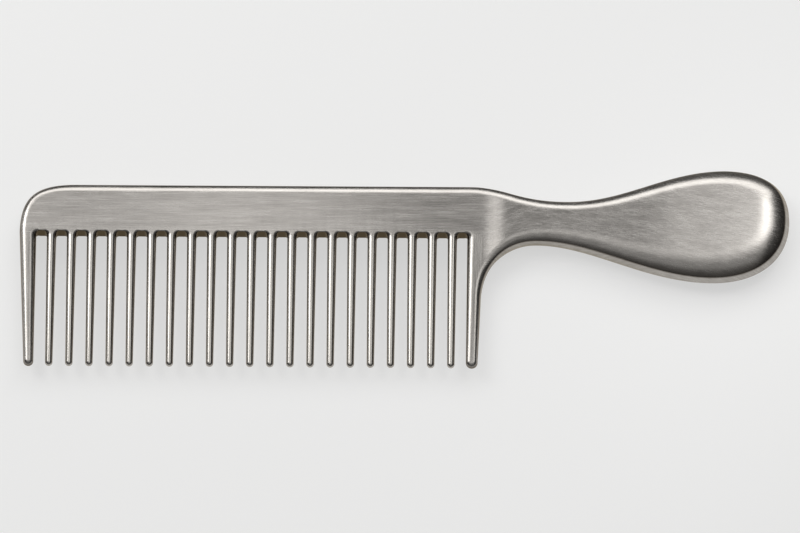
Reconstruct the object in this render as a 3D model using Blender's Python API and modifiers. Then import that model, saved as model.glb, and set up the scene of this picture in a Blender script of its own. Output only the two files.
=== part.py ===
"""Mane comb for a horse, lying flat on its back.

X runs along the comb towards the handle, Y from the tooth tips to the back
of the spine, Z out of the front face. The front and back faces are alike.
"""

import math

import bmesh
import bpy
from mathutils import Vector
from mathutils.geometry import delaunay_2d_cdt, interpolate_bezier

# Teeth and slots
TOOTH_COUNT = 21
TOOTH_PITCH = 0.0060
TOOTH_ROOT_WIDTH = 0.00275
TOOTH_TIP_WIDTH = 0.0022
TOOTH_EDGE_RADIUS = 0.0013
TOOTH_TIP_EDGE_SHARE = 0.85
SLOT_DEPTH = 0.0421
LAST_SLOT_WIDTH = 0.0031
SLOT_CORNER_RADIUS = 0.00095
STUB_LENGTH = 0.0012

# Seats of the teeth
SEAT_GAP = 0.00025
TENON_DIAMETER = 0.0017
TENON_LENGTH_SHARE = 0.4

# Spine, above the slots
SPINE_DEPTH = 0.01515
SPINE_THICKNESS = 0.0054
SPINE_CORNER_LENGTH = 0.0168
SPINE_CORNER_DROP = 0.0149
SPINE_RUN_OVER_GUARD_SHARE = 0.32

# End guards
LEFT_GUARD_ROOT_WIDTH = 0.0050
LEFT_GUARD_LEAN = 0.0020
LEFT_GUARD_TIP_WIDTH = 0.0030
RIGHT_GUARD_ROOT_WIDTH = 0.0042
RIGHT_GUARD_TIP_WIDTH = 0.0035
RIGHT_GUARD_STRAIGHT_SHARE = 0.487
GUARD_TIP_THICKNESS = 0.0030

# Handle, from the right guard's outer side
HANDLE_LENGTH = 0.0920
NECK_TOP_SHARE = 0.285
NECK_TOP_DROP = 0.0048
NECK_UNDERSIDE_SHARE = 0.176
NECK_WIDTH = 0.01295
NECK_THICKNESS = 0.0066
NECK_RAMP_SHARE = 0.09
PADDLE_TOP_SHARE = 0.796
PADDLE_TOP_RISE = 0.0053
PADDLE_UNDERSIDE_SHARE = 0.752
PADDLE_WIDTH = 0.0351
PADDLE_END_SHARE = 0.551
PADDLE_THICKNESS = 0.0100
PADDLE_FULL_THICKNESS_SHARE = 0.64

# How far the outline pulls straight before and after each point, as shares of the spans
NOTCH_PULL_SHARE = 0.656
NECK_UNDERSIDE_PULL_SHARES = (0.512, 0.313)
PADDLE_UNDERSIDE_PULL_SHARES = (0.366, 0.592)
PADDLE_END_PULL_SHARES = (0.63, 0.719)
PADDLE_TOP_PULL_SHARES = (0.633, 0.372)
NECK_TOP_PULL_SHARES = (0.368, 0.522)
SPINE_END_PULL_SHARE = 0.31
SPINE_CORNER_PULL_SHARES = (0.71, 0.748)

# Rims: how far each reaches in over the face, how far it drops and how far its wall leans in
SPINE_RIM = (0.0027, 0.0009, 0.0003)
LEFT_END_RIM = (0.0020, 0.0012, 0.00015)
NECK_RIM = (0.0034, 0.00125, 0.0003)
NOTCH_RIM = (0.0014, 0.0008, 0.0003)
PADDLE_TOP_RIM = (0.0056, 0.0024, 0.00035)
PADDLE_END_RIM = (0.0085, 0.0029, 0.0012)
PADDLE_UNDERSIDE_RIM = (0.0085, 0.0026, 0.0009)
GUARD_INNER_RIM = (0.0020, 0.0020, 0.0)
GUARD_TIP_RIM = (0.00135, 0.00135, 0.0)
SLOT_TOP_RIM = (0.0003, 0.0003, 0.0)
TOOTH_RIM = (TOOTH_EDGE_RADIUS, TOOTH_EDGE_RADIUS, 0.0)

# How late each rim falls away towards its edge, and what share of that edge is round
SPINE_RIM_SHARES = (2.4, 0.0)
LEFT_END_RIM_SHARES = (2.6, 0.5)
NECK_RIM_SHARES = (2.2, 0.0)
NOTCH_RIM_SHARES = (2.0, 0.0)
PADDLE_TOP_RIM_SHARES = (2.0, 0.0)
PADDLE_END_RIM_SHARES = (2.3, 0.0)
PADDLE_UNDERSIDE_RIM_SHARES = (2.6, 0.0)
ROUND_RIM_SHARES = (2.0, 1.0)

# Steps along curves
RIM_STEPS = 4
CORNER_STEPS = 7
SLOT_CORNER_STEPS = 3
GUARD_SIDE_STEPS = 5
GUARD_TIP_STEPS = 6
SPINE_TOP_STEPS = 12
HANDLE_CURVE_STEPS = 12
FACE_GRID = 0.0060
FACE_GRID_MARGIN_SHARE = 0.4
TOOTH_CORNER_POINTS = 4
TOOTH_LENGTH_STEPS = 6
TOOTH_TIP_STEPS = 3
SOCKET_SIDES = 16
SMALLEST_EDGE = 0.000002
SHARP_ANGLE = math.radians(35)

# Sizes that follow from those above
SLOT_WIDTH = TOOTH_PITCH - TOOTH_ROOT_WIDTH
STUB_END_HEIGHT = SLOT_DEPTH - STUB_LENGTH
TOOTH_TOP_HEIGHT = STUB_END_HEIGHT - SEAT_GAP
TENON_LENGTH = SPINE_DEPTH * TENON_LENGTH_SHARE
SOCKET_DIAMETER = TENON_DIAMETER + 2 * SEAT_GAP
FIRST_TOOTH_X = LEFT_GUARD_ROOT_WIDTH + SLOT_WIDTH + TOOTH_ROOT_WIDTH / 2
RIGHT_GUARD_X = LEFT_GUARD_ROOT_WIDTH + TOOTH_COUNT * TOOTH_PITCH + LAST_SLOT_WIDTH
HANDLE_START_X = RIGHT_GUARD_X + RIGHT_GUARD_ROOT_WIDTH
COMB_LENGTH = HANDLE_START_X + HANDLE_LENGTH
SPINE_HEIGHT = SLOT_DEPTH + SPINE_DEPTH
NECK_TOP_HEIGHT = SPINE_HEIGHT - NECK_TOP_DROP
PADDLE_TOP_HEIGHT = SPINE_HEIGHT + PADDLE_TOP_RISE
SPINE_EDGE = Vector((*SPINE_RIM, *SPINE_RIM_SHARES))
LEFT_END_EDGE = Vector((*LEFT_END_RIM, *LEFT_END_RIM_SHARES))
NECK_EDGE = Vector((*NECK_RIM, *NECK_RIM_SHARES))
NOTCH_EDGE = Vector((*NOTCH_RIM, *NOTCH_RIM_SHARES))
PADDLE_TOP_EDGE = Vector((*PADDLE_TOP_RIM, *PADDLE_TOP_RIM_SHARES))
PADDLE_END_EDGE = Vector((*PADDLE_END_RIM, *PADDLE_END_RIM_SHARES))
PADDLE_UNDERSIDE_EDGE = Vector((*PADDLE_UNDERSIDE_RIM, *PADDLE_UNDERSIDE_RIM_SHARES))
GUARD_INNER_EDGE = Vector((*GUARD_INNER_RIM, *ROUND_RIM_SHARES))
GUARD_TIP_EDGE = Vector((*GUARD_TIP_RIM, *ROUND_RIM_SHARES))
SLOT_TOP_EDGE = Vector((*SLOT_TOP_RIM, *ROUND_RIM_SHARES))
TOOTH_EDGE = Vector((*TOOTH_RIM, *ROUND_RIM_SHARES))


def clear_scene():
    """Leaves the scene without objects."""
    for found in list(bpy.data.objects):
        bpy.data.objects.remove(found)


def new_collection(name):
    """A collection in the scene."""
    collection = bpy.data.collections.new(name)
    bpy.context.scene.collection.children.link(collection)
    return collection


def eased(share):
    """A share from 0 to 1 that starts and ends slowly."""
    share = min(1.0, max(0.0, share))
    return share * share * (3 - 2 * share)


def half_thickness(point):
    """Height of the front face over the middle plane: spine, neck ramp, paddle, thinning guards."""
    along_handle = (point.x - HANDLE_START_X) / HANDLE_LENGTH
    ramp = eased(along_handle / NECK_RAMP_SHARE)
    swell_shares = PADDLE_FULL_THICKNESS_SHARE - NECK_RAMP_SHARE
    swell = eased((along_handle - NECK_RAMP_SHARE) / swell_shares)
    thickness = SPINE_THICKNESS + ramp * (NECK_THICKNESS - SPINE_THICKNESS)
    thickness += swell * (PADDLE_THICKNESS - NECK_THICKNESS)
    down_guard = max(0.0, 1 - point.y / SLOT_DEPTH)
    thickness -= (1 - ramp) * down_guard * (SPINE_THICKNESS - GUARD_TIP_THICKNESS)
    return thickness / 2


def line(start, end, steps):
    """Points from start to end, both kept."""
    return [start.lerp(end, step / steps) for step in range(steps + 1)]


def arc(centre, radius, start_angle, end_angle, steps):
    """Points on a circle from one angle to another, both kept."""
    points = []
    for step in range(steps + 1):
        angle = start_angle + (end_angle - start_angle) * step / steps
        points.append(centre + radius * Vector((math.cos(angle), math.sin(angle))))
    return points


def curve(start, start_pull, end_pull, end, steps):
    """Points on the smooth curve that leaves start by one pull and comes into end by the other."""
    return interpolate_bezier(start, start + start_pull, end + end_pull, end, steps + 1)


def add_stretch(outline, points, first_edge, last_edge):
    """Adds points to the outline, the edge of the metal changing evenly along them."""
    last = len(points) - 1
    for step, point in enumerate(points):
        edge = first_edge.lerp(last_edge, step / last)
        if outline and (outline[-1][0] - point).length < SMALLEST_EDGE:
            outline.pop()
        outline.append((Vector((point.x, point.y)), edge))


def add_left_guard(outline):
    """Down the comb's left end, round the guard's tip and up into the first slot."""
    tip_radius = LEFT_GUARD_TIP_WIDTH / 2
    shoulder = Vector((0.0, SPINE_HEIGHT - SPINE_CORNER_DROP))
    outer = Vector((LEFT_GUARD_LEAN, tip_radius))
    centre = outer + Vector((tip_radius, 0.0))
    inner = centre + Vector((tip_radius, 0.0))
    root = Vector((LEFT_GUARD_ROOT_WIDTH, SLOT_DEPTH - SLOT_CORNER_RADIUS))
    add_stretch(outline, line(shoulder, outer, GUARD_SIDE_STEPS), LEFT_END_EDGE, GUARD_TIP_EDGE)
    tip = arc(centre, tip_radius, math.pi, math.tau, GUARD_TIP_STEPS)
    add_stretch(outline, tip, GUARD_TIP_EDGE, GUARD_TIP_EDGE)
    add_stretch(outline, line(inner, root, GUARD_SIDE_STEPS), GUARD_TIP_EDGE, GUARD_INNER_EDGE)


def add_slot_top(outline, left_x, right_x, left_edge, right_edge):
    """Over the closed end of one slot, from its left side to its right side."""
    corner_y = SLOT_DEPTH - SLOT_CORNER_RADIUS
    left = Vector((left_x + SLOT_CORNER_RADIUS, corner_y))
    right = Vector((right_x - SLOT_CORNER_RADIUS, corner_y))
    rise = arc(left, SLOT_CORNER_RADIUS, math.pi, math.pi / 2, SLOT_CORNER_STEPS)
    fall = arc(right, SLOT_CORNER_RADIUS, math.pi / 2, 0.0, SLOT_CORNER_STEPS)
    add_stretch(outline, rise, left_edge, SLOT_TOP_EDGE)
    add_stretch(outline, fall, SLOT_TOP_EDGE, right_edge)


def add_slots(outline):
    """Along the slots, with a stub down to each tooth. Returns where each stub's end starts."""
    stub_ends = []
    left_x = LEFT_GUARD_ROOT_WIDTH
    left_edge = GUARD_INNER_EDGE
    for _ in range(TOOTH_COUNT):
        right_x = left_x + SLOT_WIDTH
        add_slot_top(outline, left_x, right_x, left_edge, TOOTH_EDGE)
        stub_ends.append(len(outline))
        near = Vector((right_x, STUB_END_HEIGHT))
        far = near + Vector((TOOTH_ROOT_WIDTH, 0.0))
        add_stretch(outline, [near, far], TOOTH_EDGE, TOOTH_EDGE)
        left_x += TOOTH_PITCH
        left_edge = TOOTH_EDGE
    add_slot_top(outline, left_x, RIGHT_GUARD_X, left_edge, GUARD_INNER_EDGE)
    return stub_ends


def add_right_guard(outline):
    """Down from the last slot, round the right guard's tip and up its outer side."""
    tip_radius = RIGHT_GUARD_TIP_WIDTH / 2
    root = Vector((RIGHT_GUARD_X, SLOT_DEPTH - SLOT_CORNER_RADIUS))
    centre = Vector((RIGHT_GUARD_X + tip_radius, tip_radius))
    inner = centre - Vector((tip_radius, 0.0))
    outer = centre + Vector((tip_radius, 0.0))
    straight_top = Vector((HANDLE_START_X, SLOT_DEPTH * RIGHT_GUARD_STRAIGHT_SHARE))
    add_stretch(outline, line(root, inner, GUARD_SIDE_STEPS), GUARD_INNER_EDGE, GUARD_TIP_EDGE)
    tip = arc(centre, tip_radius, math.pi, math.tau, GUARD_TIP_STEPS)
    add_stretch(outline, tip, GUARD_TIP_EDGE, GUARD_TIP_EDGE)
    side = line(outer, straight_top, GUARD_SIDE_STEPS)
    add_stretch(outline, side, GUARD_TIP_EDGE, NOTCH_EDGE)
    return straight_top


def handle_point(length_share, height):
    """A point on the handle's outline."""
    return Vector((HANDLE_START_X + HANDLE_LENGTH * length_share, height))


def handle_stations(guard_top, spine_end):
    """Where the handle's outline turns: each point, its direction of travel, its pulls and edge."""
    underside_height = NECK_TOP_HEIGHT - NECK_WIDTH
    belly_height = PADDLE_TOP_HEIGHT - PADDLE_WIDTH
    end_height = belly_height + PADDLE_WIDTH * PADDLE_END_SHARE
    underside = handle_point(NECK_UNDERSIDE_SHARE, underside_height)
    belly = handle_point(PADDLE_UNDERSIDE_SHARE, belly_height)
    end = handle_point(1.0, end_height)
    crest = handle_point(PADDLE_TOP_SHARE, PADDLE_TOP_HEIGHT)
    neck_top = handle_point(NECK_TOP_SHARE, NECK_TOP_HEIGHT)
    along = Vector((1.0, 0.0))
    up = Vector((0.0, 1.0))
    return (
        (guard_top, up, (0.0, NOTCH_PULL_SHARE), NOTCH_EDGE),
        (underside, along, NECK_UNDERSIDE_PULL_SHARES, NECK_EDGE),
        (belly, along, PADDLE_UNDERSIDE_PULL_SHARES, PADDLE_UNDERSIDE_EDGE),
        (end, up, PADDLE_END_PULL_SHARES, PADDLE_END_EDGE),
        (crest, -along, PADDLE_TOP_PULL_SHARES, PADDLE_TOP_EDGE),
        (neck_top, -along, NECK_TOP_PULL_SHARES, NECK_EDGE),
        (spine_end, -along, (SPINE_END_PULL_SHARE, 0.0), SPINE_EDGE),
    )


def add_handle(outline, guard_top):
    """From the finger notch under the neck, round the paddle and back over the neck."""
    run = RIGHT_GUARD_ROOT_WIDTH * SPINE_RUN_OVER_GUARD_SHARE
    spine_end = Vector((RIGHT_GUARD_X + run, SPINE_HEIGHT))
    stations = handle_stations(guard_top, spine_end)
    for first, last in zip(stations, stations[1:]):
        start, start_travel, start_shares, start_edge = first
        end, end_travel, end_shares, end_edge = last
        span = end - start
        start_pull = start_travel * abs(span.dot(start_travel)) * start_shares[1]
        end_pull = -end_travel * abs(span.dot(end_travel)) * end_shares[0]
        points = curve(start, start_pull, end_pull, end, HANDLE_CURVE_STEPS)
        add_stretch(outline, points, start_edge, end_edge)
    return spine_end


def add_spine_top(outline, spine_end):
    """Along the back of the spine to its left end, and round that corner."""
    corner = Vector((0.0, SPINE_HEIGHT))
    start = corner + Vector((SPINE_CORNER_LENGTH, 0.0))
    shoulder = corner - Vector((0.0, SPINE_CORNER_DROP))
    start_pull = (corner - start) * SPINE_CORNER_PULL_SHARES[0]
    end_pull = (corner - shoulder) * SPINE_CORNER_PULL_SHARES[1]
    bend = curve(start, start_pull, end_pull, shoulder, CORNER_STEPS)
    add_stretch(outline, line(spine_end, start, SPINE_TOP_STEPS), SPINE_EDGE, SPINE_EDGE)
    add_stretch(outline, bend, SPINE_EDGE, LEFT_END_EDGE)
    outline.pop()


def body_outline():
    """The comb's outline, counterclockwise from its left end, and where the stub ends start."""
    outline = []
    add_left_guard(outline)
    stub_ends = add_slots(outline)
    guard_top = add_right_guard(outline)
    spine_end = add_handle(outline, guard_top)
    add_spine_top(outline, spine_end)
    return outline, stub_ends


def inward_directions(outline, stub_ends):
    """The direction into the metal at each outline point. At a stub's end it is level."""
    directions = []
    count = len(outline)
    for index in range(count):
        before = (outline[index][0] - outline[index - 1][0]).normalized()
        after = (outline[(index + 1) % count][0] - outline[index][0]).normalized()
        along = (before + after).normalized()
        directions.append(Vector((-along.y, along.x)))
    for start in stub_ends:
        directions[start] = Vector((1.0, 0.0))
        directions[start + 1] = Vector((-1.0, 0.0))
    return directions


def add_rim(mesh, point, inward, edge):
    """One column of points: up the leaning side wall, then over the rim to the face."""
    reach, drop, draft, fullness, roundness = edge
    ridge = point + inward * draft
    column = [mesh.verts.new((point.x, point.y, 0.0))]
    for step in range(RIM_STEPS + 1):
        angle = math.pi / 2 * step / RIM_STEPS
        inset = 1 - math.cos(angle)
        crown = (1 - inset) ** fullness
        fall = crown + (1 - math.sin(angle) - crown) * roundness
        place = ridge + inward * reach * inset
        column.append(mesh.verts.new((place.x, place.y, half_thickness(place) - drop * fall)))
    return column


def face_grid(edge):
    """Points spread over the handle's face, clear of its edge."""
    margin = FACE_GRID * FACE_GRID_MARGIN_SHARE
    columns = int(HANDLE_LENGTH / FACE_GRID)
    rows = int(PADDLE_TOP_HEIGHT / FACE_GRID)
    points = []
    for column in range(columns):
        for row in range(rows):
            x = HANDLE_START_X + column * FACE_GRID
            point = Vector((x, PADDLE_TOP_HEIGHT - row * FACE_GRID))
            if inside(point, edge) and min((point - other).length for other in edge) > margin:
                points.append(point)
    return points


def inside(point, edge):
    """Whether a point lies inside a closed line of points."""
    crossings = 0
    for index, end in enumerate(edge):
        start = edge[index - 1]
        if (start.y > point.y) != (end.y > point.y):
            share = (point.y - start.y) / (end.y - start.y)
            crossings += point.x < start.x + share * (end.x - start.x)
    return crossings % 2 == 1


def add_face(mesh, columns):
    """Fills the flat of the front face inside the rims."""
    edge_verts = [column[-1] for column in columns]
    edge = [Vector(vert.co.xy) for vert in edge_verts]
    grid = face_grid(edge)
    grid_verts = [mesh.verts.new((point.x, point.y, half_thickness(point))) for point in grid]
    verts = edge_verts + grid_verts
    count = len(edge)
    sides = [(index, (index + 1) % count) for index in range(count)]
    made = delaunay_2d_cdt(edge + grid, sides, [], 1, SMALLEST_EDGE)
    sources = made[3]
    for triangle in made[2]:
        mesh.faces.new([verts[sources[corner][0]] for corner in triangle])


def front_half():
    """The front half of the body's skin: side walls, rims, stub ends and face."""
    outline, stub_ends = body_outline()
    inward = inward_directions(outline, stub_ends)
    mesh = bmesh.new()
    columns = []
    for (point, metal_edge), direction in zip(outline, inward):
        columns.append(add_rim(mesh, point, direction, metal_edge))
    for index, column in enumerate(columns):
        following = columns[(index + 1) % len(columns)]
        if index in stub_ends:
            mesh.faces.new(column[::-1] + following)
            continue
        for low, high, next_high, next_low in zip(column, column[1:], following[1:], following):
            mesh.faces.new((low, next_low, next_high, high))
    add_face(mesh, columns)
    bmesh.ops.recalc_face_normals(mesh, faces=mesh.faces)
    return mesh


def finish_mesh(name, mesh):
    """Turns the working mesh into a named one with smooth round faces."""
    data = bpy.data.meshes.new(name)
    mesh.to_mesh(data)
    mesh.free()
    data.shade_smooth()
    data.set_sharp_from_angle(angle=SHARP_ANGLE)
    return data


def steel(name, colour, roughness):
    """Bare brushed steel."""
    material = bpy.data.materials.new(name)
    material.use_nodes = True
    shader = material.node_tree.nodes["Principled BSDF"]
    shader.inputs["Base Color"].default_value = (*colour, 1.0)
    shader.inputs["Roughness"].default_value = roughness
    shader.inputs["Metallic"].default_value = 1.0
    return material


def add_body(collection):
    """Spine, neck, handle and both end guards, in one piece."""
    data = finish_mesh("spine_and_handle", front_half())
    data.materials.append(steel("brushed_stainless_steel", (0.60, 0.58, 0.55), 0.34))
    body = bpy.data.objects.new("spine_and_handle", data)
    collection.objects.link(body)
    body.location = (-COMB_LENGTH / 2, -PADDLE_TOP_HEIGHT / 2, PADDLE_THICKNESS / 2)
    mirror = body.modifiers.new("back_half", "MIRROR")
    mirror.use_axis = (False, False, True)
    mirror.merge_threshold = SMALLEST_EDGE
    return body


def cut_sockets(body, collection):
    """Drills a blind round socket for each tooth's tenon up into the spine."""
    depth = TENON_LENGTH
    reach = depth + SPINE_THICKNESS
    mesh = bmesh.new()
    bmesh.ops.create_cone(
        mesh,
        cap_ends=True,
        segments=SOCKET_SIDES,
        radius1=SOCKET_DIAMETER / 2,
        radius2=SOCKET_DIAMETER / 2,
        depth=reach,
    )
    cutter = bpy.data.objects.new("socket_cutter", finish_mesh("socket_cutter", mesh))
    collection.objects.link(cutter)
    cutter.parent = body
    cutter.rotation_euler.x = math.pi / 2
    cutter.location = (FIRST_TOOTH_X, STUB_END_HEIGHT + depth - reach / 2, 0.0)
    cutter.hide_render = True
    cutter.display_type = "WIRE"
    row = cutter.modifiers.new("row", "ARRAY")
    row.count = TOOTH_COUNT
    row.use_relative_offset = False
    row.use_constant_offset = True
    row.constant_offset_displace = (TOOTH_PITCH, 0.0, 0.0)
    drill = body.modifiers.new("sockets", "BOOLEAN")
    drill.operation = "DIFFERENCE"
    drill.solver = "EXACT"
    drill.object = cutter


def tooth_section(half_width, half_depth, edge_radius):
    """Corners of one level cut through a tooth: a rectangle with round edges."""
    points = []
    for quarter in range(4):
        start = quarter * math.pi / 2
        side_x = 1 if quarter in (0, 3) else -1
        side_z = 1 if quarter in (0, 1) else -1
        centre_x = side_x * (half_width - edge_radius)
        centre_z = side_z * (half_depth - edge_radius)
        for step in range(TOOTH_CORNER_POINTS):
            angle = start + math.pi / 2 * step / (TOOTH_CORNER_POINTS - 1)
            x = centre_x + edge_radius * math.cos(angle)
            points.append((x, centre_z + edge_radius * math.sin(angle)))
    return points


def tenon_section():
    """Corners of the tenon, turned to face those of the tooth's root."""
    count = 4 * TOOTH_CORNER_POINTS
    points = []
    for step in range(count):
        angle = math.tau * (step - (TOOTH_CORNER_POINTS - 1) / 2) / count + math.pi / 4
        points.append((TENON_DIAMETER / 2 * math.cos(angle), TENON_DIAMETER / 2 * math.sin(angle)))
    return points


def tooth_levels():
    """Each level of a tooth from its tenon down to its tip: its height and its section."""
    tip_radius = TOOTH_TIP_WIDTH / 2
    levels = [(TENON_LENGTH, tenon_section()), (0.0, tenon_section())]
    length = TOOTH_TOP_HEIGHT - tip_radius
    for step in range(TOOTH_LENGTH_STEPS + 1):
        share = step / TOOTH_LENGTH_STEPS
        half_width = (TOOTH_ROOT_WIDTH + share * (TOOTH_TIP_WIDTH - TOOTH_ROOT_WIDTH)) / 2
        half_depth = (SPINE_THICKNESS + share * (TOOTH_TIP_WIDTH - SPINE_THICKNESS)) / 2
        edge = TOOTH_EDGE_RADIUS + share * (tip_radius * TOOTH_TIP_EDGE_SHARE - TOOTH_EDGE_RADIUS)
        levels.append((-length * share, tooth_section(half_width, half_depth, edge)))
    for step in range(1, TOOTH_TIP_STEPS):
        angle = math.pi / 2 * step / TOOTH_TIP_STEPS
        radius = tip_radius * math.cos(angle)
        section = tooth_section(radius, radius, radius * TOOTH_TIP_EDGE_SHARE)
        levels.append((-length - tip_radius * math.sin(angle), section))
    return levels


def tooth_mesh():
    """A tooth: its tenon above, its tapering blade below, its round tip."""
    mesh = bmesh.new()
    rings = []
    for height, section in tooth_levels():
        rings.append([mesh.verts.new((x, height, z)) for x, z in section])
    for upper, lower in zip(rings, rings[1:]):
        for index in range(len(upper)):
            last = index - 1
            mesh.faces.new((upper[last], upper[index], lower[index], lower[last]))
    mesh.faces.new(rings[0])
    tip = mesh.verts.new((0.0, -TOOTH_TOP_HEIGHT, 0.0))
    for index in range(len(rings[-1])):
        mesh.faces.new((rings[-1][index - 1], rings[-1][index], tip))
    bmesh.ops.recalc_face_normals(mesh, faces=mesh.faces)
    return mesh


def add_teeth(body, collection):
    """The row of teeth, each seated in its own socket."""
    data = finish_mesh("tooth", tooth_mesh())
    data.materials.append(steel("satin_tooth_steel", (0.62, 0.60, 0.57), 0.26))
    for number in range(TOOTH_COUNT):
        tooth = bpy.data.objects.new(f"tooth_{number + 1:02d}", data)
        collection.objects.link(tooth)
        tooth.parent = body
        tooth.location = (FIRST_TOOTH_X + number * TOOTH_PITCH, TOOTH_TOP_HEIGHT, 0.0)


clear_scene()
comb = new_collection("mane_comb")
cutters = new_collection("cutters")
comb_body = add_body(comb)
cut_sockets(comb_body, cutters)
add_teeth(comb_body, comb)
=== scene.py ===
"""A brushed steel mane comb, dressed over its solids and lit for one picture."""

import math

import bmesh
import bpy
from mathutils import Matrix, Vector
from mathutils.geometry import delaunay_2d_cdt, interpolate_bezier


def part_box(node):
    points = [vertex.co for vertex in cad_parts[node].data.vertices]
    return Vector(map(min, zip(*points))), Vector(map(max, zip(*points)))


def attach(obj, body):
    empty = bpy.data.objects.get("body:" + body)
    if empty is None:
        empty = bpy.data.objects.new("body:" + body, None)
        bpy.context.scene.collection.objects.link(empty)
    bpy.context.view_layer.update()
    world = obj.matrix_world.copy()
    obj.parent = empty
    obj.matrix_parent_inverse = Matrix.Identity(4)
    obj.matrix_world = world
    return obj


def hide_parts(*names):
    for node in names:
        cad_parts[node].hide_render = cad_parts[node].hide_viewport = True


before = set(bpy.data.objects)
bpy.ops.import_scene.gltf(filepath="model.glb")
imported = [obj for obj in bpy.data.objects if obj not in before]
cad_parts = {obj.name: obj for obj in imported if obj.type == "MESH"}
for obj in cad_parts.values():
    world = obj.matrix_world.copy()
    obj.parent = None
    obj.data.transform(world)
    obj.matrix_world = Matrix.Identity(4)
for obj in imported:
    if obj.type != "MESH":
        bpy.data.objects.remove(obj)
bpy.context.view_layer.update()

# The comb's body: spine, neck, paddle handle and the two end guards, one steel forging.
# Its edges are rolled over by grinding, narrow on the spine and wide round the paddle, and the
# faces are brushed. The rim changes all the way round, so its skin is lofted ring by ring.
body_low, body_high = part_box("spine_and_handle")
first_low, first_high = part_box("tooth_01")
last_low, last_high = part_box("tooth_21")

MM = 0.001
TOOTH_COUNT = 21
SLOT_DEPTH = 42.1 * MM
SLOT_CORNER = 0.95 * MM
LAST_SLOT_LESS = 0.15 * MM
STUB_LENGTH = 1.2 * MM
SPINE_DEPTH = 15.15 * MM
RIGHT_GUARD_WIDTH = 4.2 * MM
PADDLE_MIDDLE_DROP = 12.4 * MM
tooth_pitch = (last_low.x - first_low.x) / (TOOTH_COUNT - 1)
tooth_width = first_high.x - first_low.x
slot_width = tooth_pitch - tooth_width
middle_z = (body_low.z + body_high.z) / 2
tip_y = body_low.y
left_x = body_low.x
spine_thickness = first_high.z - first_low.z
slot_top = tip_y + SLOT_DEPTH
stub_end = slot_top - STUB_LENGTH
spine_top = slot_top + SPINE_DEPTH
guard_x = last_high.x + slot_width - LAST_SLOT_LESS
handle_x = guard_x + RIGHT_GUARD_WIDTH
handle_length = body_high.x - handle_x
paddle_middle_y = spine_top - PADDLE_MIDDLE_DROP


def eased(share):
    """A step from 0 to 1 that starts and ends level."""
    share = min(1.0, max(0.0, share))
    return share * share * (3 - 2 * share)


# The neck steps up from the spine, the paddle swells out of it, and the guards thin downwards.
# The paddle's face is slightly crowned towards its sides and its end.
NECK_RAMP_SHARE = 0.09
SWELL_SHARE = 0.55
NECK_STEP = 1.2 * MM
PADDLE_SWELL = 3.4 * MM
GUARD_THINNING = 2.4 * MM
CROWN = 0.5 * MM
CROWN_BEND = 2.5
END_CROWN_FROM = 0.72
CROWNED_HALF_WIDTH = 17 * MM


def face_height(point):
    """Height of the front face over the middle plane at a point of the outline's plane."""
    along = (point.x - handle_x) / handle_length
    ramp = eased(along / NECK_RAMP_SHARE)
    swell = eased((along - NECK_RAMP_SHARE) / SWELL_SHARE)
    thickness = spine_thickness + ramp * NECK_STEP + swell * PADDLE_SWELL
    down = max(0.0, (slot_top - point.y) / (slot_top - tip_y))
    off_middle = min(1.0, abs(point.y - paddle_middle_y) / CROWNED_HALF_WIDTH)
    to_end = max(0.0, (along - END_CROWN_FROM) / (1 - END_CROWN_FROM))
    crown = (to_end**CROWN_BEND + off_middle**CROWN_BEND * swell) * CROWN
    return (thickness - (1 - ramp) * down * GUARD_THINNING) / 2 - crown


SAME_PLACE = 0.005 * MM


def add_stretch(outline, points, first_rim, last_rim):
    """Adds points to the outline, its rim changing evenly from the first to the last."""
    for step, point in enumerate(points):
        rim_here = first_rim.lerp(last_rim, step / (len(points) - 1))
        if outline and (outline[-1][0] - point).length < SAME_PLACE:
            outline.pop()
        outline.append((Vector((point.x, point.y)), rim_here))


def straight(start, end, steps):
    return [start.lerp(end, step / steps) for step in range(steps + 1)]


def arc(centre, radius, start, end, steps):
    angles = [start + (end - start) * step / steps for step in range(steps + 1)]
    return [centre + radius * Vector((math.cos(a), math.sin(a))) for a in angles]


def rim(reach, drop, fullness, roundness, wall_shade, draft):
    """How far a rim reaches in and drops, how late it falls away, how round its corner is, how
    much painted shade darkens the wall below it, and how far that wall leans in."""
    return Vector((reach * MM, drop * MM, fullness, roundness, wall_shade, draft * MM))


# The fifth value of each rim is how much painted shade its wall gets.
spine_rim = rim(2.7, 0.9, 1.95, 0.0, 0.1, 0.3)
left_rim = rim(2.0, 1.2, 2.6, 0.5, 0.3, 0.15)
neck_rim = rim(3.4, 1.25, 2.2, 0.0, 0.1, 0.3)
notch_rim = rim(1.4, 0.8, 2.0, 0.0, 0.1, 0.3)
paddle_top_rim = rim(5.6, 1.9, 2.0, 0.0, 0.1, 0.35)
paddle_end_rim = rim(8.5, 2.4, 2.3, 0.0, 0.1, 1.2)
paddle_under_rim = rim(8.5, 2.1, 2.6, 0.0, 0.1, 0.9)
guard_inner_rim = rim(2.0, 2.0, 2.0, 1.0, 1.0, 0.0)
guard_tip_rim = rim(1.35, 1.35, 2.0, 1.0, 0.6, 0.0)
slot_rim = rim(0.3, 0.3, 2.0, 1.0, 1.0, 0.0)
tooth_rim = rim(1.3, 1.3, 2.0, 1.0, 1.0, 0.0)

# The outline runs down the left guard, along the slots and the stubs that the teeth stand on,
# round the right guard and the handle, and back over the spine.
CORNER_LENGTH = 16.8 * MM
CORNER_DROP = 14.9 * MM
LEFT_GUARD_LEAN = 2.0 * MM
LEFT_TIP_RADIUS = 1.5 * MM
RIGHT_TIP_RADIUS = 1.75 * MM
NOTCH_HEIGHT = 20.5 * MM
GUARD_STEPS = 40
TIP_STEPS = 28
SLOT_CORNER_STEPS = 8
NOTCH_STEPS = 20
CURVE_STEPS = 60
CORNER_STEPS = 36
outline = []
stub_corners = []

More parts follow.
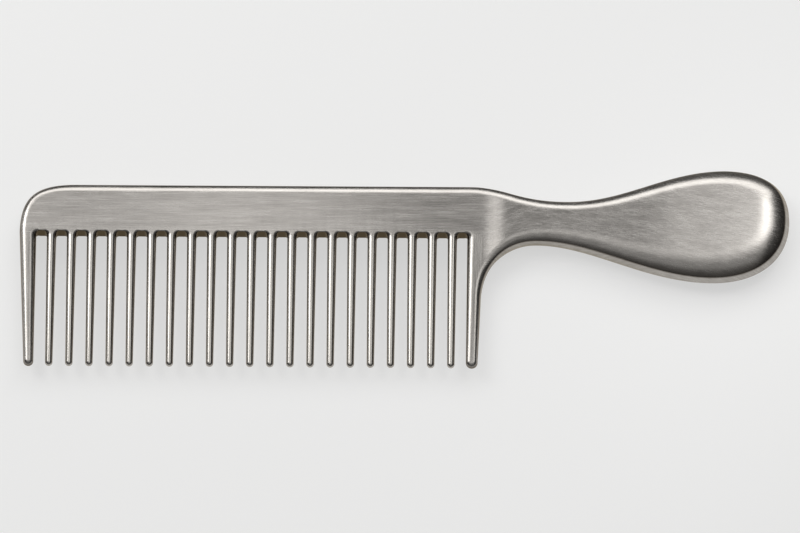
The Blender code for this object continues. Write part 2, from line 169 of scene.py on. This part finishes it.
left_tip = Vector((left_x + LEFT_GUARD_LEAN + LEFT_TIP_RADIUS, tip_y + LEFT_TIP_RADIUS))
outer_end = left_tip - Vector((LEFT_TIP_RADIUS, 0))
inner_end = left_tip + Vector((LEFT_TIP_RADIUS, 0))
shoulder = Vector((left_x, spine_top - CORNER_DROP))
first_slot_x = first_low.x - slot_width
slot_side = Vector((first_slot_x, slot_top - SLOT_CORNER))
left_tip_arc = arc(left_tip, LEFT_TIP_RADIUS, math.pi, math.tau, TIP_STEPS)
add_stretch(outline, straight(shoulder, outer_end, GUARD_STEPS), left_rim, guard_tip_rim)
add_stretch(outline, left_tip_arc, guard_tip_rim, guard_tip_rim)
add_stretch(outline, straight(inner_end, slot_side, GUARD_STEPS), guard_tip_rim, guard_inner_rim)

for slot in range(TOOTH_COUNT + 1):
    x = first_slot_x + slot * tooth_pitch
    far_x = x + slot_width if slot < TOOTH_COUNT else guard_x
    left_side = tooth_rim if slot else guard_inner_rim
    right_side = tooth_rim if slot < TOOTH_COUNT else guard_inner_rim
    left = Vector((x + SLOT_CORNER, slot_top - SLOT_CORNER))
    right = Vector((far_x - SLOT_CORNER, slot_top - SLOT_CORNER))
    left_arc = arc(left, SLOT_CORNER, math.pi, math.pi / 2, SLOT_CORNER_STEPS)
    right_arc = arc(right, SLOT_CORNER, math.pi / 2, 0, SLOT_CORNER_STEPS)
    add_stretch(outline, left_arc, left_side, slot_rim)
    add_stretch(outline, right_arc, slot_rim, right_side)
    if slot < TOOTH_COUNT:
        stub_corners.append(len(outline))
        near = Vector((x + slot_width, stub_end))
        add_stretch(outline, [near, near + Vector((tooth_width, 0))], tooth_rim, tooth_rim)

right_tip = Vector((guard_x + RIGHT_TIP_RADIUS, tip_y + RIGHT_TIP_RADIUS))
inner_end = right_tip - Vector((RIGHT_TIP_RADIUS, 0))
outer_end = right_tip + Vector((RIGHT_TIP_RADIUS, 0))
slot_side = Vector((guard_x, slot_top - SLOT_CORNER))
guard_top = Vector((handle_x, tip_y + NOTCH_HEIGHT))
right_tip_arc = arc(right_tip, RIGHT_TIP_RADIUS, math.pi, math.tau, TIP_STEPS)
add_stretch(outline, straight(slot_side, inner_end, GUARD_STEPS), guard_inner_rim, guard_tip_rim)
add_stretch(outline, right_tip_arc, guard_tip_rim, guard_tip_rim)
add_stretch(outline, straight(outer_end, guard_top, NOTCH_STEPS), guard_tip_rim, notch_rim)

# The handle's outline passes through stations. Each has its place, the way the line runs there,
# how far the curves before and after it pull that way, and its rim.
NECK_TOP_DROP = 4.8 * MM
NECK_WIDTH = 12.95 * MM
PADDLE_RISE = 5.3 * MM
PADDLE_WIDTH = 35.1 * MM
PADDLE_END_HEIGHT = 19.34 * MM
SPINE_PAST_GUARD = 1.25 * MM
onwards = Vector((1, 0))
upwards = Vector((0, 1))
neck_top_y = spine_top - NECK_TOP_DROP
crest_y = spine_top + PADDLE_RISE
belly_y = crest_y - PADDLE_WIDTH
neck_underside = Vector((handle_x + 0.176 * handle_length, neck_top_y - NECK_WIDTH))
paddle_belly = Vector((handle_x + 0.752 * handle_length, belly_y))
paddle_end = Vector((body_high.x, belly_y + PADDLE_END_HEIGHT))
paddle_crest = Vector((handle_x + 0.796 * handle_length, crest_y))
neck_top = Vector((handle_x + 0.285 * handle_length, neck_top_y))
spine_end = Vector((guard_x + SPINE_PAST_GUARD, spine_top))
stations = (
    (guard_top, upwards, (0, 0.656), notch_rim),
    (neck_underside, onwards, (0.512, 0.313), neck_rim),
    (paddle_belly, onwards, (0.366, 0.592), paddle_under_rim),
    (paddle_end, upwards, (0.63, 0.719), paddle_end_rim),
    (paddle_crest, -onwards, (0.633, 0.372), paddle_top_rim),
    (neck_top, -onwards, (0.368, 0.522), neck_rim),
    (spine_end, -onwards, (0.31, 0), spine_rim),
)
for first_station, next_station in zip(stations, stations[1:]):
    start, start_way, start_pulls, start_rim = first_station
    end, end_way, end_pulls, end_rim = next_station
    span = end - start
    leaving = start + start_way * abs(span.dot(start_way)) * start_pulls[1]
    arriving = end - end_way * abs(span.dot(end_way)) * end_pulls[0]
    curve = interpolate_bezier(start, leaving, arriving, end, CURVE_STEPS)
    add_stretch(outline, curve, start_rim, end_rim)

corner = Vector((left_x, spine_top))
corner_start = corner + onwards * CORNER_LENGTH
pulls = (corner_start.lerp(corner, 0.71), shoulder.lerp(corner, 0.748))
corner_curve = interpolate_bezier(corner_start, *pulls, shoulder, CORNER_STEPS)
add_stretch(outline, straight(spine_end, corner_start, CURVE_STEPS), spine_rim, spine_rim)
add_stretch(outline, corner_curve, spine_rim, left_rim)
outline.pop()

inward = []
for index, (point, _) in enumerate(outline):
    before = (point - outline[index - 1][0]).normalized()
    after = (outline[(index + 1) % len(outline)][0] - point).normalized()
    tangent = (before + after).normalized()
    inward.append(Vector((-tangent.y, tangent.x)))
for index in stub_corners:
    inward[index] = onwards
    inward[index + 1] = -onwards

# From each point of the outline a column of rings climbs the wall, turns a small broken corner
# and rolls over the rim on to the face. The wall and the first of the rim are painted darker, as
# painted shade.
WALL_RINGS = 6
RIM_RINGS = 14
DRAFT_BEND = 1.25
CORNER_RADIUS = 0.15 * MM
CORNER_LIFT = 0.8 * CORNER_RADIUS
EDGE_SHADE = 0.75
EDGE_SHADE_REACH = 0.3
skin = bmesh.new()
# This layer holds painted shade for the walls, the slots and the outer part of the rims.
painted_shade = skin.verts.layers.float.new("painted_shade")
columns = []
for (point, rim_here), direction in zip(outline, inward):
    reach, drop, fullness, roundness, wall_shade, draft = rim_here
    ridge = point + direction * draft
    ridge_height = face_height(ridge) - drop - CORNER_LIFT * (1 - roundness)
    column = []
    for ring in range(WALL_RINGS):
        climb = ring / WALL_RINGS
        place = point + direction * draft * climb**DRAFT_BEND
        column.append(skin.verts.new((place.x, place.y, ridge_height * climb)))
        column[-1][painted_shade] = wall_shade
    for ring in range(RIM_RINGS + 1):
        angle = math.pi / 2 * ring / RIM_RINGS
        inset = 1 - math.cos(angle)
        roll = (1 - inset) ** fullness
        roll += CORNER_LIFT / drop * max(0.0, 1 - inset * reach / CORNER_RADIUS) ** 2
        fall = roll + (1 - math.sin(angle) - roll) * roundness
        place = ridge + direction * reach * inset
        column.append(skin.verts.new((place.x, place.y, face_height(place) - drop * fall)))
        column[-1][painted_shade] = max(EDGE_SHADE, wall_shade) * max(0.0, 1 - inset / EDGE_SHADE_REACH)
    columns.append(column)
for index, column in enumerate(columns):
    following = columns[(index + 1) % len(columns)]
    if index in stub_corners:
        skin.faces.new(column[::-1] + following)
        continue
    for low, high, next_high, next_low in zip(column, column[1:], following[1:], following):
        skin.faces.new((low, next_low, next_high, high))


def crossings(point, edge):
    """How often a level ray from the point crosses a closed line: odd inside it."""
    count = 0
    for index, end in enumerate(edge):
        start = edge[index - 1]
        if (start.y > point.y) != (end.y > point.y):
            share = (point.y - start.y) / (end.y - start.y)
            count += point.x < start.x + share * (end.x - start.x)
    return count


# The face inside the rims is filled with triangles. The handle's part is curved, so a grid of
# points carries it there. The back is the front mirrored, welded to it on the middle plane.
GRID_STEP = 1.6 * MM
GRID_CLEARANCE = 0.7 * MM
GRID_BEFORE = 4 * MM
GRID_BELOW = 20 * MM
NEAR_HANDLE = 6 * MM
SAME_CORNER = 0.0002 * MM
WELD = 0.0005 * MM
SHARP_EDGE = math.radians(18)
face_edge = [Vector(column[-1].co.xy) for column in columns]
handle_edge = [point for point in face_edge if point.x > handle_x - NEAR_HANDLE]
grid = []
for column in range(int((body_high.x - handle_x + GRID_BEFORE) / GRID_STEP)):
    for row in range(int((crest_y - belly_y + GRID_BELOW) / GRID_STEP)):
        grid_x = handle_x - GRID_BEFORE + column * GRID_STEP
        point = Vector((grid_x, crest_y - row * GRID_STEP))
        clear = all((point - other).length_squared > GRID_CLEARANCE**2 for other in handle_edge)
        if clear and crossings(point, face_edge) % 2:
            grid.append(point)
corners = [column[-1] for column in columns]
corners += [skin.verts.new((point.x, point.y, face_height(point))) for point in grid]
sides = [(index, (index + 1) % len(face_edge)) for index in range(len(face_edge))]
filled = delaunay_2d_cdt(face_edge + grid, sides, [], 1, SAME_CORNER)
for triangle in filled[2]:
    skin.faces.new([corners[filled[3][corner][0]] for corner in triangle])
bmesh.ops.recalc_face_normals(skin, faces=skin.faces)
front = skin.verts[:] + skin.edges[:] + skin.faces[:]
half = bmesh.ops.duplicate(skin, geom=front)["geom"]
back_verts = [item for item in half if isinstance(item, bmesh.types.BMVert)]
back_faces = [item for item in half if isinstance(item, bmesh.types.BMFace)]
bmesh.ops.scale(skin, vec=(1, 1, -1), verts=back_verts)
bmesh.ops.reverse_faces(skin, faces=back_faces)
bmesh.ops.remove_doubles(skin, verts=skin.verts[:], dist=WELD)
bmesh.ops.translate(skin, vec=(0, 0, middle_z), verts=skin.verts[:])
body_mesh = bpy.data.meshes.new("spine_and_handle_skin")
skin.to_mesh(body_mesh)
skin.free()
body = bpy.data.objects.new("spine_and_handle_skin", body_mesh)
bpy.context.scene.collection.objects.link(body)
body_mesh.shade_smooth()
body_mesh.set_sharp_from_angle(angle=SHARP_EDGE)

# The brushing runs in long strokes along the spine, rises across the neck and falls again over
# the paddle in shorter ones, and runs down the guards. The map holds how far a point lies along
# the strokes, slower where they are long, and how far across them, in millimetres.
brushing = body_mesh.uv_layers.new(name="brushing")
SPINE_STROKES = 139
LONG_STROKE_PACE = 0.8
SHORT_STROKE_PACE = 2.8
BRUSHED_LENGTH = 240
BRUSH_SLOPES = ((0, 0), (SPINE_STROKES, 0), (146, 0.35), (153, 0.02), (170, -0.16), (240, -0.2))
GUARD_BRUSH_MARGIN = 1 * MM


def brush_slope(x):
    """How steeply the strokes rise at a place along the comb, in millimetres from its left end."""
    for (x0, slope0), (x1, slope1) in zip(BRUSH_SLOPES, BRUSH_SLOPES[1:]):
        if x <= x1:
            return slope0 + (slope1 - slope0) * eased((x - x0) / (x1 - x0))
    return BRUSH_SLOPES[-1][1]


rises = [0.0]
for step in range(BRUSHED_LENGTH):
    rises.append(rises[-1] + brush_slope(step + 0.5))
for face in body_mesh.polygons:
    under_spine = face.center.y < slot_top - GUARD_BRUSH_MARGIN
    on_guard = under_spine and face.center.x < handle_x + GUARD_BRUSH_MARGIN
    for loop_index in face.loop_indices:
        spot = body_mesh.vertices[body_mesh.loops[loop_index].vertex_index].co
        x = (spot.x - left_x) / MM
        y = (spot.y - tip_y) / MM
        low = min(BRUSHED_LENGTH - 2, max(0, int(x)))
        rise = rises[low] + (rises[low + 1] - rises[low]) * (x - low)
        run = min(x, SPINE_STROKES) * LONG_STROKE_PACE
        run += max(0, x - SPINE_STROKES) * SHORT_STROKE_PACE
        brushing.data[loop_index].uv = (y * LONG_STROKE_PACE, x) if on_guard else (run, y - rise)


def linear(hex_colour):
    """A colour written as sRGB hex, in the linear values that a shader takes."""
    values = [int(hex_colour[index : index + 2], 16) / 255 for index in (1, 3, 5)]
    return tuple(v / 12.92 if v <= 0.04045 else ((v + 0.055) / 1.055) ** 2.4 for v in values) + (1,)


def add_node(material, kind, settings=None, inputs=None, links=None):
    """Adds one node, with its settings, its input values and its links from other nodes' outputs."""
    node = material.node_tree.nodes.new(kind)
    for name, value in (settings or {}).items():
        setattr(node, name, value)
    for name, value in (inputs or {}).items():
        node.inputs[name].default_value = value
    for name, source in (links or {}).items():
        material.node_tree.links.new(source, node.inputs[name])
    return node


# Brushed stainless steel: fine strokes over broad soft bands, which give a warm grey sheen that
# spreads across the strokes. Real strokes are some 0.05 mm wide and are drawn 0.2 mm wide, so
# that they show. In the slots and under the rims a dark brown is painted in as painted shade.
STROKE_LENGTH = 8
STROKE_WIDTH = 0.2
BAND_LENGTH = 24
BAND_WIDTH = 1.8
BAND_WEIGHT = 0.5
GROOVE_DEPTH = 0.009 * MM
brushed = bpy.data.materials.new("brushed_stainless_steel")
brushed.use_nodes = True
steel = brushed.node_tree.nodes["Principled BSDF"]
brush_map = add_node(brushed, "ShaderNodeUVMap", {"uv_map": "brushing"})
strokes_at = add_node(
    brushed,
    "ShaderNodeMapping",
    inputs={"Scale": (1 / STROKE_LENGTH, 1 / STROKE_WIDTH, 1)},
    links={"Vector": brush_map.outputs[0]},
)
strokes = add_node(
    brushed,
    "ShaderNodeTexNoise",
    inputs={"Scale": 1.0, "Detail": 2.0, "Roughness": 0.6},
    links={"Vector": strokes_at.outputs[0]},
)
bands_at = add_node(
    brushed,
    "ShaderNodeMapping",
    inputs={"Scale": (1 / BAND_LENGTH, 1 / BAND_WIDTH, 1)},
    links={"Vector": brush_map.outputs[0]},
)
bands = add_node(
    brushed,
    "ShaderNodeTexNoise",
    inputs={"Scale": 1.0, "Detail": 2.0},
    links={"Vector": bands_at.outputs[0]},
)
worn = add_node(
    brushed,
    "ShaderNodeMath",
    settings={"operation": "MULTIPLY_ADD"},
    inputs={1: BAND_WEIGHT},
    links={0: bands.outputs["Fac"], 2: strokes.outputs["Fac"]},
)
stroke_share = add_node(
    brushed,
    "ShaderNodeMapRange",
    inputs={"From Min": 0.55, "From Max": 0.95},
    links={"Value": worn.outputs[0]},
)
stroke_tone = add_node(
    brushed,
    "ShaderNodeMixRGB",
    inputs={"Color1": linear("#a8a49f"), "Color2": linear("#c0bcb7")},
    links={"Fac": stroke_share.outputs[0]},
)
# Painted shade: the layer mixes the steel towards dark brown on the walls, in the slots and at the
# outer rims.
shade_mask = add_node(brushed, "ShaderNodeAttribute", {"attribute_name": "painted_shade"})
steel_tone = add_node(
    brushed,
    "ShaderNodeMixRGB",
    inputs={"Color2": linear("#42372b")},
    links={"Fac": shade_mask.outputs["Fac"], "Color1": stroke_tone.outputs[0]},
)
steel_gloss = add_node(
    brushed,
    "ShaderNodeMapRange",
    inputs={"From Min": 0.55, "From Max": 0.95, "To Min": 0.22, "To Max": 0.28},
    links={"Value": worn.outputs[0]},
)
grooves = add_node(
    brushed,
    "ShaderNodeBump",
    inputs={"Strength": 1.0, "Distance": GROOVE_DEPTH},
    links={"Height": strokes.outputs["Fac"]},
)
steel.inputs["Metallic"].default_value = 1.0
steel.inputs["Specular Tint"].default_value = linear("#e2dacb")
brushed.node_tree.links.new(steel_tone.outputs[0], steel.inputs["Base Color"])
brushed.node_tree.links.new(steel_gloss.outputs[0], steel.inputs["Roughness"])
brushed.node_tree.links.new(grooves.outputs[0], steel.inputs["Normal"])
body_mesh.materials.append(brushed)

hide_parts("spine_and_handle")
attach(body, "root")

# The teeth: tapered steel bars set in the spine and finished smooth, flush with its faces at
# the root and drawn out to a round point. Each is a rounded ring drawn down, then smoothed.

# Satin steel: drawn lengthways, it gives a sharper light line than the face does. Its sides are
# painted darker where they turn sideways, as painted shade. Real drawing lines are finer than the
# 0.33 mm here.
LINES_PER_METRE = 3000
LINE_RUNS_PER_METRE = 60
FLANK_FROM = 0.78
FLANK_FADE = 0.15
satin = bpy.data.materials.new("satin_tooth_steel")
satin.use_nodes = True
satin_steel = satin.node_tree.nodes["Principled BSDF"]
tooth_place = add_node(satin, "ShaderNodeTexCoord")
lines_at = add_node(
    satin,
    "ShaderNodeMapping",
    inputs={"Scale": (LINES_PER_METRE, LINE_RUNS_PER_METRE, LINES_PER_METRE)},
    links={"Vector": tooth_place.outputs["Object"]},
)
lines = add_node(
    satin,
    "ShaderNodeTexNoise",
    inputs={"Scale": 1.0, "Detail": 2.0},
    links={"Vector": lines_at.outputs[0]},
)
satin_gloss = add_node(
    satin,
    "ShaderNodeMapRange",
    inputs={"From Min": 0.3, "From Max": 0.7, "To Min": 0.14, "To Max": 0.17},
    links={"Value": lines.outputs["Fac"]},
)
# Painted shade: the tooth's sides are mixed towards a dark brown grey.
shaded_flanks = add_node(satin, "ShaderNodeAttribute", {"attribute_name": "painted_shade"})
satin_tone = add_node(
    satin,
    "ShaderNodeMixRGB",
    inputs={"Color1": linear("#b9b5af"), "Color2": linear("#7a7268")},
    links={"Fac": shaded_flanks.outputs["Fac"]},
)
satin_steel.inputs["Metallic"].default_value = 1.0
satin_steel.inputs["Specular Tint"].default_value = linear("#e2dacb")
satin.node_tree.links.new(satin_gloss.outputs[0], satin_steel.inputs["Roughness"])
satin.node_tree.links.new(satin_tone.outputs[0], satin_steel.inputs["Base Color"])

RING_POINTS = 48
POINT_STEPS = 8
SEAM = 0.01 * MM
POINT_RADIUS = 1.1 * MM
INSIDE_SPINE = 1.0 * MM
SMOOTH_UNDER = math.radians(40)
root_radius = tooth_width / 2 - SEAM
root_depth = face_height(Vector((first_low.x, stub_end))) - SEAM
tooth_x = (first_low.x + first_high.x) / 2
tooth_top = stub_end + INSIDE_SPINE


def move_half(tooth, side, distance):
    """Moves the front or back half of the open ring of points out from the middle plane."""
    ring_y = min(vert.co.y for vert in bmesh.from_edit_mesh(tooth.data).verts)
    for vert in bmesh.from_edit_mesh(tooth.data).verts:
        vert.select_set(vert.co.y < ring_y + SEAM and (vert.co.z - middle_z) * side > 0)
    bpy.ops.transform.translate(value=(0, 0, side * distance))
    for vert in bmesh.from_edit_mesh(tooth.data).verts:
        vert.select_set(vert.co.y < ring_y + SEAM)


bpy.ops.object.select_all(action="DESELECT")
bpy.ops.mesh.primitive_circle_add(
    vertices=RING_POINTS,
    radius=root_radius,
    location=(tooth_x, tooth_top, middle_z),
    rotation=(math.pi / 2, math.pi / RING_POINTS, 0),
)
tooth = bpy.context.object
bpy.ops.object.transform_apply(location=True, rotation=True, scale=True)
bpy.ops.object.mode_set(mode="EDIT")
bpy.ops.mesh.select_mode(type="VERT")
bpy.ops.mesh.select_all(action="SELECT")
move_half(tooth, 1, root_depth - root_radius)
move_half(tooth, -1, root_depth - root_radius)
bpy.ops.mesh.edge_face_add()
bpy.ops.mesh.extrude_region_move(TRANSFORM_OT_translate={"value": (0, -INSIDE_SPINE, 0)})
narrowing = POINT_RADIUS / root_radius
blade = stub_end - tip_y - POINT_RADIUS
blade_end = (tooth_x, stub_end - blade, middle_z)
bpy.ops.mesh.extrude_region_move(TRANSFORM_OT_translate={"value": (0, -blade, 0)})
bpy.ops.transform.resize(value=(narrowing, 1, narrowing), center_override=blade_end)
closing = POINT_RADIUS - root_depth * narrowing
move_half(tooth, 1, closing)
move_half(tooth, -1, closing)
for step in range(1, POINT_STEPS + 1):
    before = math.pi / 2 * (step - 1) / POINT_STEPS
    after = math.pi / 2 * step / POINT_STEPS
    fall = POINT_RADIUS * (math.sin(after) - math.sin(before))
    shrink = math.cos(after) / math.cos(before)
    centre = (tooth_x, tip_y + POINT_RADIUS * (1 - math.sin(after)), middle_z)
    bpy.ops.mesh.extrude_region_move(TRANSFORM_OT_translate={"value": (0, -fall, 0)})
    bpy.ops.transform.resize(value=(shrink, 1, shrink), center_override=centre)
bpy.ops.mesh.merge(type="CENTER")
bpy.ops.mesh.select_all(action="SELECT")
bpy.ops.mesh.normals_make_consistent(inside=False)
bpy.ops.object.mode_set(mode="OBJECT")
bpy.ops.object.shade_smooth_by_angle(angle=SMOOTH_UNDER)
# Painted shade on the teeth's sides, growing darker as the surface turns sideways.
flank_shade = tooth.data.attributes.new("painted_shade", "FLOAT", "POINT")
for vert in tooth.data.vertices:
    sideways = abs(vert.normal.x)
    flank_shade.data[vert.index].value = min(1.0, max(0.0, (sideways - FLANK_FROM) / FLANK_FADE))
tooth.data.materials.append(satin)

for number in range(TOOTH_COUNT):
    bar = tooth.copy()
    bar.data = tooth.data.copy()
    bar.name = f"tooth_{number + 1:02d}_bar"
    bar.data.transform(Matrix.Translation((number * tooth_pitch, 0, 0)))
    bpy.context.scene.collection.objects.link(bar)
    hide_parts(f"tooth_{number + 1:02d}")
    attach(bar, "root")
bpy.data.objects.remove(tooth)

# The floor: a plain pale painted board that the comb lies on. Matt paint gives it no mirror
# image. As the camera and the steel see it, it is lifted part of the way to white, so that the
# background is pale without more light on the comb, and it keeps the comb's shadow.
FLOOR_SIZE = 6
FLOOR_LIFT = 0.55
bpy.ops.object.select_all(action="DESELECT")
bpy.ops.mesh.primitive_plane_add(size=FLOOR_SIZE, location=(0, 0, 0))
floor = bpy.context.object
floor.name = "floor"
paint = bpy.data.materials.new("pale_matt_paint")
paint.use_nodes = True
pale = paint.node_tree.nodes["Principled BSDF"]
pale.inputs["Base Color"].default_value = linear("#efefed")
pale.inputs["Roughness"].default_value = 0.9
path = add_node(paint, "ShaderNodeLightPath")
seen_or_mirrored = add_node(
    paint,
    "ShaderNodeMath",
    settings={"operation": "MAXIMUM"},
    links={0: path.outputs["Is Camera Ray"], 1: path.outputs["Is Glossy Ray"]},
)
seen = add_node(
    paint,
    "ShaderNodeMath",
    settings={"operation": "MAXIMUM"},
    links={0: seen_or_mirrored.outputs[0], 1: path.outputs["Is Transmission Ray"]},
)
lift = add_node(
    paint,
    "ShaderNodeMath",
    settings={"operation": "MULTIPLY"},
    inputs={1: FLOOR_LIFT},
    links={0: seen.outputs[0]},
)
white = add_node(
    paint, "ShaderNodeEmission", inputs={"Color": linear("#ffffff"), "Strength": 1.0}
)
lifted = add_node(
    paint,
    "ShaderNodeMixShader",
    links={0: lift.outputs[0], 1: pale.outputs[0], 2: white.outputs[0]},
)
output = paint.node_tree.nodes["Material Output"]
paint.node_tree.links.new(lifted.outputs[0], output.inputs["Surface"])
floor.data.materials.append(paint)

# The camera looks down on the comb from the teeth's side, 20 degrees off the upright, through a
# long lens. Its place puts the comb's left end and tips at the photograph's pixels.
TILT = math.radians(20)
TURN = math.radians(4)
ROLL = math.radians(-3.42)
LENS = 650
SENSOR_WIDTH = 36
PICTURE_WIDTH = 800
PIXELS_PER_MM = 3.345
distance = LENS / SENSOR_WIDTH * PICTURE_WIDTH / PIXELS_PER_MM * MM
target = Vector((left_x + 114.05 * MM, tip_y + 32.16 * MM, middle_z))
turned = Matrix.Rotation(TURN, 4, "Z") @ Matrix.Rotation(TILT, 4, "X")
toward = turned @ Vector((0, 0, 1))
camera_data = bpy.data.cameras.new("camera")
camera_data.lens = LENS
camera_data.clip_end = 20
camera = bpy.data.objects.new("camera", camera_data)
bpy.context.scene.collection.objects.link(camera)
rolled = turned @ Matrix.Rotation(ROLL, 4, "Z")
camera.matrix_world = Matrix.Translation(target + toward * distance) @ rolled
bpy.context.scene.camera = camera


# The light: wide soft boxes from behind, over and in front of the comb, smaller ones at its left
# and right, and three small near ones for the spine, the paddle and the paddle's end, in a dim
# grey room. A grid on the paddle's two keeps their light off the teeth.
def soft_box(
    name, spot, off_upright, round_from_back, distance, width, height, radiance, spread=180
):
    """A lamp in the direction in which its spot along the comb mirrors it, given in degrees from
    the upright and round from the back towards the handle. Its sizes are in metres."""
    light = bpy.data.lights.new(name, "AREA")
    light.shape = "RECTANGLE"
    light.size = width
    light.size_y = height
    half_spread = math.radians(spread) / 2
    grid_loss = 1 - half_spread / math.tan(half_spread)
    light.spread = 2 * half_spread
    light.energy = radiance * width * height * math.pi * grid_loss
    lamp = bpy.data.objects.new(name, light)
    bpy.context.scene.collection.objects.link(lamp)
    upright = math.radians(off_upright)
    turn = math.radians(round_from_back)
    sideways = math.sin(upright) * math.sin(turn)
    backwards = math.sin(upright) * math.cos(turn)
    way = Vector((sideways, backwards, math.cos(upright)))
    lamp.location = Vector((spot, 0, 0)) + way * distance
    lamp.rotation_euler = (-way).to_track_quat("-Z", "Y").to_euler()
    lamp.visible_camera = False


soft_box("back_box", 0, 51, 0, 1.2, 1.8, 0.5, 2.3)
soft_box("upper_box", 0, 34, 0, 1.2, 1.8, 0.25, 0.6)
soft_box("over_box", 0, 4, 0, 1.2, 1.8, 0.5, 0.65)
soft_box("overhead_front_box", 0, -20, 0, 1.2, 1.8, 0.5, 0.3)
soft_box("front_box", 0, -51, 0, 1.2, 1.8, 0.75, 0.12)
soft_box("upper_left_box", 0, 28, -43, 1.0, 0.35, 0.35, 0.9)
soft_box("left_box", 0, 46, -61, 1.0, 0.35, 0.5, 3.8)
soft_box("low_left_box", 0, 76, -70, 1.0, 0.35, 0.35, 0.6)
soft_box("right_box", 0, 28, 43, 1.0, 0.35, 0.35, 0.75)
soft_box("spine_box", -0.05, 20, 0, 0.25, 0.07, 0.12, 0.55)
soft_box("paddle_box", 0.105, 20, 0, 0.25, 0.08, 0.14, 0.55, spread=70)
soft_box("paddle_end_box", 0.1, 32, 46, 0.2, 0.08, 0.11, 3.3, spread=44)

ROOM_GREY = 0.06
world = bpy.data.worlds.new("grey_room")
bpy.context.scene.world = world
world.use_nodes = True
room = world.node_tree.nodes["Background"]
room.inputs["Color"].default_value = (ROOM_GREY, ROOM_GREY, ROOM_GREY, 1)
room.inputs["Strength"].default_value = 1.0

bpy.context.scene.view_settings.view_transform = "Standard"
